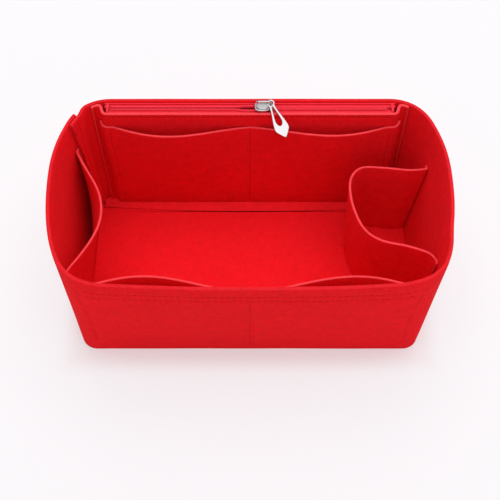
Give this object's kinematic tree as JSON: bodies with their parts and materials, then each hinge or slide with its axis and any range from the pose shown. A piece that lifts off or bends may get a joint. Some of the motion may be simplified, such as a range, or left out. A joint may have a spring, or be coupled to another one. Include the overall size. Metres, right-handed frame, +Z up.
{
  "type": "purse organizer insert",
  "caption": "Open felt tub that stands inside a handbag, with slip pockets, a side pocket, a bottle holder and a zipped pocket along its back.",
  "frame": {"origin": "under the middle of the rim, on the surface that the tub stands on", "axes": "+X along the tub to the bottle holder's end, +Y from the open front wall to the zipped back wall, +Z up"},
  "size_m": [0.2904, 0.1656, 0.1247],
  "materials": {
    "red_felt": "needle-punched polyester felt, matt, 3 mm, cut edges left raw",
    "pocket_felt": "thinner needle-punched polyester felt, matt",
    "board_felt": "felt glued over the removable base board, matt",
    "zip_tape": "woven polyester zipper tape, dyed to match",
    "zip_coil": "moulded monofilament coil, satin",
    "zip_metal": "bright plated zinc casting",
    "stiffener": "thin plastic sheet, hidden under the felt board"
  },
  "bodies": {
    "tub": {"outer_wall": "red_felt", "bottom_panel": "red_felt", "base_stiffener": "stiffener", "base_insert": "board_felt", "zip_pocket_panel": "red_felt", "back_slip_pocket": "pocket_felt", "front_slip_pocket": "pocket_felt", "left_side_pocket": "pocket_felt", "bottle_holder": "pocket_felt", "zipper_tape_front": "zip_tape", "zipper_tape_rear": "zip_tape", "zipper_coil_front": "zip_coil", "zipper_coil_rear": "zip_coil", "zip_end_tab_left": "zip_tape", "zip_end_tab_right": "zip_tape"},
    "slider": {"slider_body": "zip_metal"},
    "pull": {"pull_tab": "zip_metal"}
  },
  "joints": [
    {"name": "zip_slide", "type": "slide", "parent": "tub", "child": "slider", "axis": [1, 0, 0], "range_m": [-0.1064, 0.0854], "deforming": ["zipper_coil_front", "zipper_coil_rear"]},
    {"name": "pull_swing", "type": "hinge", "parent": "slider", "child": "pull", "pos_m": [0.0155, 0.07443, 0.122], "axis": [0, -0.342, 0.9397], "range_deg": [-75, 205]}
  ]
}
